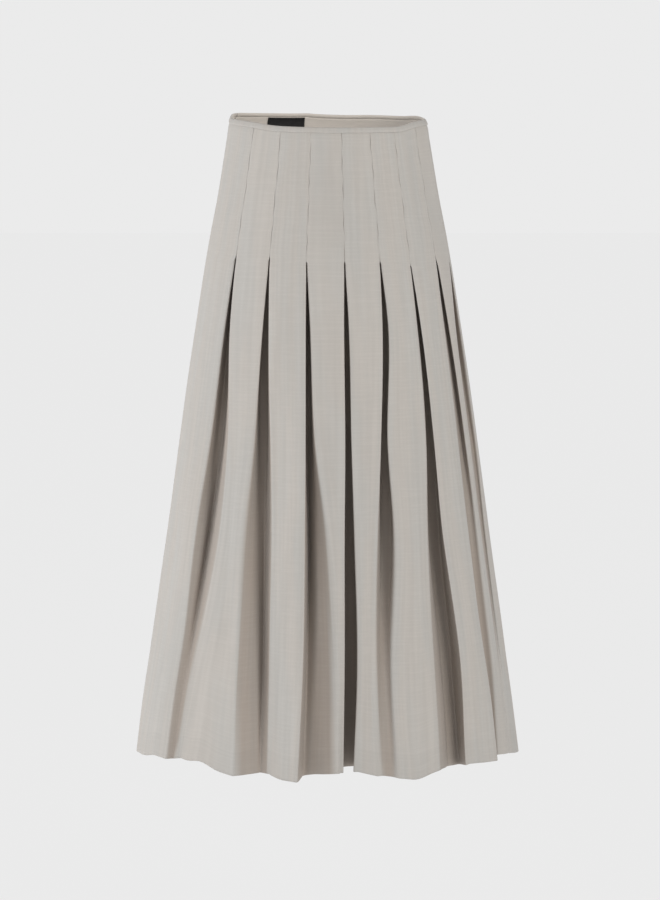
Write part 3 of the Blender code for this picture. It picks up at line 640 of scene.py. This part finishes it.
TWILL_COLOUR = (0.466, 0.450, 0.426)
WARM_COLOUR = (0.481, 0.452, 0.420)  # where pressing has warmed the finish
FOLD_SHADE_COLOUR = (0.79, 0.73, 0.69)  # painted shade: what the cloth's colour is multiplied by far inside a fold, darker and browner
STREAK_TONES = (0.965, 1.025)  # what the colour is multiplied by along the warp, at its darkest and lightest
SLUB_TONES = (0.99, 1.03)  # and by the slub yarns
RIB_TONES = (0.97, 1.01)  # and by the twill's ribs
THREAD = 0.42 * MM  # from one yarn to the next
HEM_FOLD = 30 * MM  # depth of the turned-up hem
HEM_SHADE = 0.98  # painted shade: what the colour is multiplied by where the hem lies double and lets less light through
HEM_BLUR = 0.5 * MM  # half the height over which that begins
INNER_LIGHT_BLUR = 0.4 * MM  # half the width over which the painted light on a strip's inner half begins


def twill_material(name, hem, folds, inner_light=None):
    """Light suiting: fine diagonal twill, thicker slub yarns across, and faint streaks down the warp.
    Where the hem lies double the cloth is painted a little darker: painted shade for the light that passes
    through the single cloth and not the double. Inside the folds its colour is painted a darker brown that
    grows with the depth in the fold: painted shade. The last argument, if given, is a colour and the way
    across a strip beyond which the strip is painted in it: painted light."""
    made = Nodes(name, Roughness=0.86, Specular_IOR_Level=0.25, Sheen_Weight=0.12, Sheen_Roughness=0.45)
    place = made.cloth_place()
    across, down = made.two_ways(place)
    slub = made.threads(place, 34, 430, 4.0)
    streak = made.threads(place, 240, 6, 3.0)
    warmth = made.ramp(made.threads(place, 48, 5, 3.0), 0.35, 0.65, 0.0, 1.0)
    shade = made.mix(warmth, (*TWILL_COLOUR, 1), (*WARM_COLOUR, 1))
    rib = made.ribs(made.math("ADD", across, down), 2 * THREAD)
    tones = [
        made.ramp(streak, 0.3, 0.7, *STREAK_TONES),
        made.ramp(slub, 0.4, 0.7, *SLUB_TONES),
        made.ramp(rib, -1.0, 1.0, *RIB_TONES),
    ]
    # painted shade: the double hem is painted darker for the light that the single cloth lets through
    if hem:
        top = LENGTH - HEM_FOLD
        tones.append(made.ramp(down, top - HEM_BLUR, top + HEM_BLUR, 1.0, HEM_SHADE))
    for tone in tones:
        shade = made.tint(shade, tone)
    # painted shade: further inside a fold the colour is darkened and browned
    if folds:
        fold_shade = made.add("Attribute", {"attribute_name": "fold_shade"}).outputs["Fac"]
        fold_shaded = made.add("VectorMath", {"operation": "MULTIPLY"})
        made.feed(fold_shaded.inputs[0], shade)
        made.feed(fold_shaded.inputs[1], made.mix(fold_shade, (1, 1, 1, 1), (*FOLD_SHADE_COLOUR, 1)))
        shade = fold_shaded.outputs[0]
    # painted light: beyond a given way across, the strip is painted in a paler colour
    if inner_light:
        colour, begins = inner_light
        inner_lit = made.ramp(down, begins - INNER_LIGHT_BLUR, begins + INNER_LIGHT_BLUR, 0.0, 1.0)
        shade = made.mix(inner_lit, shade, (*colour, 1))
    made.shade("Base Color", shade)
    height = made.math("ADD", made.math("MULTIPLY", rib, 0.5), made.math("MULTIPLY", slub, 0.8))
    made.raise_by(height, 0.35, 0.12 * MM)
    return made.material


FRONT_ENDS, BACK_ENDS = (18, 5), (5, 5)  # columns beside the seams
front_points, front_shade = cloth_grid(range(COUNT // 2), LEFT_SEAM, RIGHT_SEAM, FRONT_ENDS)
back_points, back_shade = cloth_grid(range(COUNT // 2, COUNT), RIGHT_SEAM, LEFT_SEAM + 360, BACK_ENDS)
left_middle = (back_points[:, -1] + front_points[:, 0]) / 2
right_middle = (front_points[:, -1] + back_points[:, 0]) / 2
# the face carries the painted shade inside its folds; the reverse does not
twill = twill_material("twill", hem=True, folds=True)
reverse = twill_material("twill_reverse", hem=True, folds=False)
cloth = {}
for name, points, fold_shade, before, after in (
    ("skirt_front", front_points, front_shade, left_middle, right_middle),
    ("skirt_back", back_points, back_shade, right_middle, left_middle),
):
    start = seam_columns(points[:, 0], before)[:, ::-1]
    points = np.concatenate([start, points, seam_columns(points[:, -1], after)], axis=1)
    points = turned_up(points)
    fold_shade = np.pad(fold_shade, ((0, HEM_ROWS + 1), (start.shape[1], start.shape[1])), mode="edge")
    cloth[name] = grid_piece(name + "_cloth", points, cloth_uv(points), CLOTH, fold_shade)
    for side in (twill, reverse):
        cloth[name].data.materials.append(side)
    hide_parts(name)
    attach(cloth[name], "skirt")

# ---------------------------------------------------------------------- waist binding
# A narrow strip of the same cloth, cut on the bias, folded over the waist edge and sewn in the ditch
# below it, so that it shows as a thin roll. Its inner half is painted in the facing's paler colour, as
# painted light in the shade inside the waist. It opens at the zip in the left seam.

BINDING_PROFILE = np.array((
    # below the waist edge, outwards from the cloth's face (mm)
    (4.2, 0.10),
    (4.7, 0.22),
    (5.0, 0.55),
    (4.8, 0.95),
    (4.0, 1.20),
    (2.6, 1.32),
    (1.2, 1.34),
    (0.2, 1.28),
    (-0.8, 0.95),
    (-1.3, 0.30),
    (-1.45, -0.75),
    (-1.3, -1.80),
    (-0.8, -2.45),
    (0.2, -2.78),
    (0.9, -2.84),
    (1.7, -2.76),
    (2.3, -2.50),
    (2.7, -2.15),
    (2.6, -1.85),
    (2.1, -1.70),
)) * MM
BINDING_WALL = 0.35 * MM
WAIST_STEPS = (430, 330)  # points along the front's and the back's waist
PUCKER = 0.10 * MM  # how far its lower edge waves in and out between the stitches
PUCKER_FROM, PUCKER_OVER = 1.5 * MM, 3.5 * MM  # below the waist edge, and the height it grows over
PUCKER_WAVES = (
    # share of PUCKER, from wave to wave, phase
    (1.0, 6.5 * MM, 0.0),
    (0.6, 17 * MM, 1.0),
)
FACING_COLOUR = (0.735, 0.675, 0.612)
INNER_LIGHT_FROM = 8.8 * MM  # across the strip; beyond it the strip is painted in the facing's colour, as painted light


def waist_path(front_steps, back_steps):
    """Angles round the waist from the left seam to it again. Across a seam the cloth is flat, so none lie
    within SEAM_FLAT of one."""
    front = np.linspace(LEFT_SEAM + SEAM_FLAT, RIGHT_SEAM - SEAM_FLAT, front_steps)
    back = np.linspace(RIGHT_SEAM + SEAM_FLAT, LEFT_SEAM + 360 - SEAM_FLAT, back_steps)
    return np.concatenate([front, back])


def waist_grid(profile, angle, uneven=0.0):
    """A strip round the waist: each profile row (below, outwards) at every angle, carried at both ends to
    half a gap short of the middle of the left seam."""
    below = np.broadcast_to(profile[:, :1], (len(profile), len(angle)))
    outwards = profile[:, 1:] + uneven
    points = on_cloth(angle, -outwards, np.maximum(below, 0), np.minimum(below, 0))
    middle = (points[:, 0] + points[:, -1]) / 2
    across = unit(points[:, 0] - points[:, -1]) * SEAM_GAP / 2
    return np.concatenate([(middle + across)[:, None], points, (middle - across)[:, None]], axis=1)


def strip_uv(points):
    """Metres along the strip and across it."""
    along = np.linalg.norm(np.diff(points[0], axis=0), axis=-1)
    across = np.linalg.norm(np.diff(points[:, 1], axis=0), axis=-1)
    along, across = (np.concatenate([[0], np.cumsum(steps)]) for steps in (along, across))
    return np.stack(np.meshgrid(along, across), axis=-1)


waist_angle = waist_path(*WAIST_STEPS)
run = np.cumsum(metres_per_degree(waist_angle, 0.0) * np.gradient(waist_angle))
low = ease((BINDING_PROFILE[:, :1] - PUCKER_FROM) / PUCKER_OVER)
wave = sum(share * np.sin(2 * np.pi * run / pitch + phase) for share, pitch, phase in PUCKER_WAVES)
points = waist_grid(BINDING_PROFILE, waist_angle, PUCKER * low * wave)
binding = grid_piece("waist_binding_cloth", points, strip_uv(points), BINDING_WALL)
# painted light: the strip's inner half is painted in the facing's paler colour, to lighten it in the shade
# inside the waist
bias = twill_material("twill_bias", hem=False, folds=False, inner_light=(FACING_COLOUR, INNER_LIGHT_FROM))
binding.data.materials.append(bias)
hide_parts("waist_binding")
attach(binding, "skirt")

# ---------------------------------------------------------------------- waist facing
# A smooth lining-weight strip inside the waist, which covers the raw edges under the binding. The binding
# holds its upper edge, and its lower edge hangs free and a little wavy.

FACING_TOP, FACING_BOTTOM = 3.1 * MM, 38 * MM
FACING_IN = CAD_CLOTH + 0.3 * MM
FACING_WALL = 0.5 * MM
FACING_ROWS = 16
FACING_STEPS = (260, 200)  # points along the front's and the back's waist
FACING_WAVE = 0.45 * MM
WAVE_FROM = 14 * MM  # below the waist
FACING_WAVES = (
    # share of FACING_WAVE, waves round the waist, phase
    (0.6, 9, 0.5),
    (0.4, 23, 0.0),
)

down = np.linspace(FACING_TOP, FACING_BOTTOM, FACING_ROWS)
angle = waist_path(*FACING_STEPS)
loose = ease((down[:, None] - WAVE_FROM) / (FACING_BOTTOM - WAVE_FROM))
wave = sum(share * np.sin(np.radians(waves * angle) + phase) for share, waves, phase in FACING_WAVES)
wavy = FACING_WAVE * loose * (1 + wave)
points = waist_grid(np.column_stack([down, np.full_like(down, -FACING_IN)]), angle, -wavy)
facing = grid_piece("waist_facing_cloth", points, strip_uv(points), FACING_WALL)

made = Nodes("facing_weave", Roughness=0.6, Sheen_Weight=0.15)
weft = made.threads(made.cloth_place(), 60, 900, 2.0)
made.shade("Base Color", made.tint(FACING_COLOUR, made.ramp(weft, 0.3, 0.7, 0.97, 1.03)))
made.raise_by(weft, 0.2, 0.08 * MM)
facing.data.materials.append(made.material)
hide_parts("waist_facing")
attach(facing, "skirt")

# ---------------------------------------------------------------------- label
# A small black woven label, left bare, with its two ends folded under and sewn to the facing.

LABEL_FROM, LABEL_TO = 194.4, 219.0  # degrees
LABEL_TOP, LABEL_BOTTOM = 3.9 * MM, 17.5 * MM
LABEL_IN = CAD_CLOTH + 1.2 * MM  # at its corners
LABEL_WALL = 0.35 * MM
END_RISE, END_FOLD = 0.5 * MM, 0.9  # how far an end bends down to the facing, over so many degrees
EDGE_RISE, EDGE_FOLD = 0.15 * MM, 1.5 * MM  # the same for its long edges, over a length
LABEL_COLUMNS, LABEL_ROWS = 72, 18
LABEL_COLOUR = (0.008, 0.0075, 0.008)
LABEL_WEFT = 0.45 * MM  # from one weft thread to the next

angle = np.linspace(LABEL_FROM, LABEL_TO, LABEL_COLUMNS)
down = np.linspace(LABEL_TOP, LABEL_BOTTOM, LABEL_ROWS)
from_end = np.minimum(angle - LABEL_FROM, LABEL_TO - angle)
from_edge = np.minimum(down - LABEL_TOP, LABEL_BOTTOM - down)[:, None]
rise = END_RISE * ease(from_end / END_FOLD) + EDGE_RISE * ease(from_edge / EDGE_FOLD)
below = np.broadcast_to(down[:, None], rise.shape)
points = on_cloth(angle, LABEL_IN + rise, below)
label = grid_piece("label_ribbon", points, strip_uv(points), LABEL_WALL)

made = Nodes("label_satin", Roughness=0.5, Specular_IOR_Level=0.35)
place = made.cloth_place()
across = made.two_ways(place)[1]
yarn = made.threads(place, 900, 120, 2.0)
made.shade("Base Color", made.tint(LABEL_COLOUR, made.ramp(yarn, 0.3, 0.7, 0.7, 1.5)))
made.raise_by(made.ribs(across, LABEL_WEFT), 0.4, 0.08 * MM)
label.data.materials.append(made.material)
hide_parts("label")
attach(label, "skirt")

# ---------------------------------------------------------------------- zip tape and coil
# The concealed zip's knitted tape lies inside the left seam. Its coil is sewn along the tape, so that
# its loops mesh behind the seam and none of them shows from outside.

TAPE_HALF = 10 * MM
TAPE_FROM, TAPE_TO = 42 * MM, 172 * MM
TAPE_IN = CAD_CLOTH + 0.6 * MM
TAPE_WALL = 0.6 * MM
TAPE_ROWS, TAPE_COLUMNS = 60, 15
TAPE_COLOUR = (0.47, 0.435, 0.395)
KNIT_ROW, KNIT_WALE = 0.9 * MM, 0.7 * MM  # from one row of loops to the next, and one column of them


def seam_place(below, across, inwards):
    """A grid of points at the left seam, a row at each depth: the seam's middle, moved by each way across
    the flat cloth towards the front and by a way inwards."""
    front = on_cloth(np.full_like(below, LEFT_SEAM + SEAM_FLAT), 0.0, below)
    back = on_cloth(np.full_like(below, LEFT_SEAM - SEAM_FLAT), 0.0, below)
    right = unit(front - back)
    middle = (front + back) / 2
    inside = np.cross(unit(-np.gradient(middle, axis=0)), right)
    return middle[:, None] + right[:, None] * np.reshape(across, (1, -1, 1)) + inside[:, None] * inwards


down = np.linspace(TAPE_FROM, TAPE_TO, TAPE_ROWS)
points = seam_place(down, np.linspace(-TAPE_HALF, TAPE_HALF, TAPE_COLUMNS), TAPE_IN)
tape = grid_piece("zip_tape_knit", points, strip_uv(points), TAPE_WALL)

made = Nodes("tape_knit", Roughness=0.8)
along, across = made.two_ways(made.cloth_place())
knit = made.math("MULTIPLY", made.ribs(across, KNIT_ROW), made.ribs(along, KNIT_WALE))
made.shade("Base Color", made.tint(TAPE_COLOUR, made.ramp(knit, -1.0, 1.0, 0.88, 1.04)))
made.raise_by(knit, 0.5, 0.15 * MM)
tape.data.materials.append(made.material)
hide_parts("zip_tape")
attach(tape, "skirt")

COIL_PITCH = 1.3 * MM
COIL_RADIUS = 0.28 * MM
COIL_REACH = 2.4 * MM  # across a loop
COIL_OVERLAP = 0.5 * MM  # how far the loops of one side reach past the middle
COIL_HEIGHT = 0.9 * MM
COIL_SIDES = 6
COIL_STEPS = 9
COIL_FROM, COIL_TO = TAPE_FROM + 2 * MM, TAPE_TO - 4 * MM
COIL_COLOUR = (0.50, 0.46, 0.41)


def coil_loops(below):
    """Loops of the coil, one at each depth, as tubes: half an ellipse out of the tape and back to it,
    alternately from the left and from the right, with a round of COIL_SIDES points at each step."""
    turn = np.linspace(0, np.pi, COIL_STEPS)
    side = np.where(np.arange(len(below)) % 2, 1.0, -1.0)[:, None]
    across = side * (COIL_REACH / 2 * np.cos(turn) + COIL_REACH / 2 - COIL_OVERLAP)
    inwards = TAPE_IN + TAPE_WALL + COIL_RADIUS + COIL_HEIGHT * np.sin(turn)
    place = seam_place(below, np.zeros(1), 0.0)[:, 0]
    front = unit(seam_place(below, np.ones(1) * MM, 0.0)[:, 0] - place)
    inside = unit(seam_place(below, np.zeros(1), MM)[:, 0] - place)
    up = np.cross(front, inside)
    centre = place[:, None] + front[:, None] * across[..., None] + inside[:, None] * inwards[:, None]
    tangent = unit(np.gradient(centre, axis=1))
    wide = np.broadcast_to(up[:, None], tangent.shape)
    high = np.cross(tangent, wide)
    around = np.linspace(0, 2 * np.pi, COIL_SIDES, endpoint=False)
    ring = wide[:, :, None] * np.cos(around)[:, None] + high[:, :, None] * np.sin(around)[:, None]
    return centre[:, :, None] + ring * COIL_RADIUS


def tubes_piece(name, rings):
    """Closed tubes from rings of points: quads along each tube, and a flat cap at each end."""
    tubes, steps, sides = rings.shape[:3]
    index = np.arange(tubes * steps * sides).reshape(tubes, steps, sides)
    following = np.roll(index, -1, axis=2)
    quads = np.stack([index[:, :-1], following[:, :-1], following[:, 1:], index[:, 1:]], axis=-1)
    caps = index[:, 0, ::-1].tolist() + index[:, -1].tolist()
    mesh = bpy.data.meshes.new(name)
    mesh.from_pydata(rings.reshape(-1, 3).tolist(), [], quads.reshape(-1, 4).tolist() + caps)
    mesh.shade_smooth()
    piece = bpy.data.objects.new(name, mesh)
    bpy.context.scene.collection.objects.link(piece)
    return piece


coil = tubes_piece("zip_coil", coil_loops(np.arange(COIL_FROM, COIL_TO, COIL_PITCH / 2)))
made = Nodes("coil_nylon", Roughness=0.35)
specks = made.add("TexNoise", Vector=made.add("TexCoord").outputs["Object"], Scale=900.0).outputs[0]
made.shade("Base Color", made.tint(COIL_COLOUR, made.ramp(specks, 0.3, 0.7, 0.95, 1.04)))
coil.data.materials.append(made.material)
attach(coil, "skirt")

# ---------------------------------------------------------------------- zip slider and pull
# A small die-cast slider, enamelled to match the cloth, with a flat pull hinged between its ears.

ENAMEL_COLOUR = (0.44, 0.41, 0.37)

made = Nodes("enamel", Metallic=0.35)
place = made.add("TexCoord").outputs["Object"]
orange_peel = made.add("TexNoise", Vector=place, Scale=1400.0, Detail=2.0).outputs[0]
worn = made.add("TexNoise", Vector=place, Scale=260.0, Detail=4.0).outputs[0]
made.shade("Base Color", made.tint(ENAMEL_COLOUR, made.ramp(worn, 0.35, 0.75, 0.9, 1.06)))
made.shade("Roughness", made.ramp(worn, 0.3, 0.7, 0.28, 0.45))
made.raise_by(orange_peel, 0.15, 0.03 * MM)
for node in ("zip_slider", "zip_pull"):
    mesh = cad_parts[node].data
    mesh.materials.clear()
    mesh.materials.append(made.material)

# ---------------------------------------------------------------------- studio
# A pale floor that runs on to the horizon under a darker ceiling. Of three large soft lights one stands at
# the left, one in front at the left, and a slightly warm one in front at the right.

FLOOR_HEIGHT = -1.12
FLOOR_HALF = 30.0
FLOOR_COLOUR = (0.05, 0.05, 0.05)
FLOOR_GLOW = 0.96  # share of the surround's light that the floor gives
SURROUND = 0.83
CEILING = 0.38
CEILING_FROM = (0.06, 0.40)  # sines of the heights between which the surround turns into the ceiling
CAMERA_DISTANCE = 4.5
CAMERA_RIGHT = 2.2 * MM
CAMERA_DOWN = 5.46  # degrees
LENS = 138.0
SENSOR_HEIGHT = 36.0
LIGHTS_AIM = Vector((0, 0, -0.4))
LIGHTS = (
    # place, size in metres, power in watts, colour
    ((-3.7, 0.0, -0.3), 1.6, 62, (1, 1, 1)),
    ((-2.3, -2.9, 0.8), 1.6, 23, (1, 1, 1)),
    ((2.4, -2.9, 0.9), 1.6, 54, (1, 0.98, 0.94)),
)

corner = np.array([(-1, -1, 0), (1, -1, 0), (1, 1, 0), (-1, 1, 0)]) * FLOOR_HALF + (0, 0, FLOOR_HEIGHT)
mesh = bpy.data.meshes.new("floor")
mesh.from_pydata(corner.tolist(), [], [(0, 1, 2, 3)])
floor = bpy.data.objects.new("floor", mesh)
bpy.context.scene.collection.objects.link(floor)
made = Nodes("studio_floor", Roughness=1.0, Specular_IOR_Level=0.0, Emission_Strength=FLOOR_GLOW)
made.shade("Base Color", (*FLOOR_COLOUR, 1))
made.shade("Emission Color", (SURROUND, SURROUND, SURROUND, 1))
floor.data.materials.append(made.material)

world = bpy.data.worlds.new("surround")
world.use_nodes = True
tree = world.node_tree
direction = tree.nodes.new("ShaderNodeTexCoord")
split = tree.nodes.new("ShaderNodeSeparateXYZ")
tree.links.new(direction.outputs["Generated"], split.inputs[0])
fall = tree.nodes.new("ShaderNodeMapRange")
fall.interpolation_type = "SMOOTHSTEP"
for socket, number in zip(fall.inputs[1:], (*CEILING_FROM, SURROUND, CEILING)):
    socket.default_value = number
tree.links.new(split.outputs["Z"], fall.inputs[0])
tree.links.new(fall.outputs[0], tree.nodes["Background"].inputs["Color"])
bpy.context.scene.world = world

for place, size, power, colour in LIGHTS:
    lamp = bpy.data.lights.new("softbox", "AREA")
    lamp.size = size
    lamp.energy = power
    lamp.color = colour
    light = bpy.data.objects.new("softbox", lamp)
    light.location = place
    light.rotation_euler = (LIGHTS_AIM - Vector(place)).to_track_quat("-Z", "Y").to_euler()
    bpy.context.scene.collection.objects.link(light)

camera = bpy.data.cameras.new("camera")
camera.lens = LENS
camera.sensor_fit = "VERTICAL"
camera.sensor_height = SENSOR_HEIGHT
eye = bpy.data.objects.new("camera", camera)
eye.location = (CAMERA_RIGHT, -CAMERA_DISTANCE, 0)
eye.rotation_euler = (math.radians(90 - CAMERA_DOWN), 0, 0)
bpy.context.scene.collection.objects.link(eye)
bpy.context.scene.camera = eye

bpy.context.scene.view_settings.view_transform = "Standard"
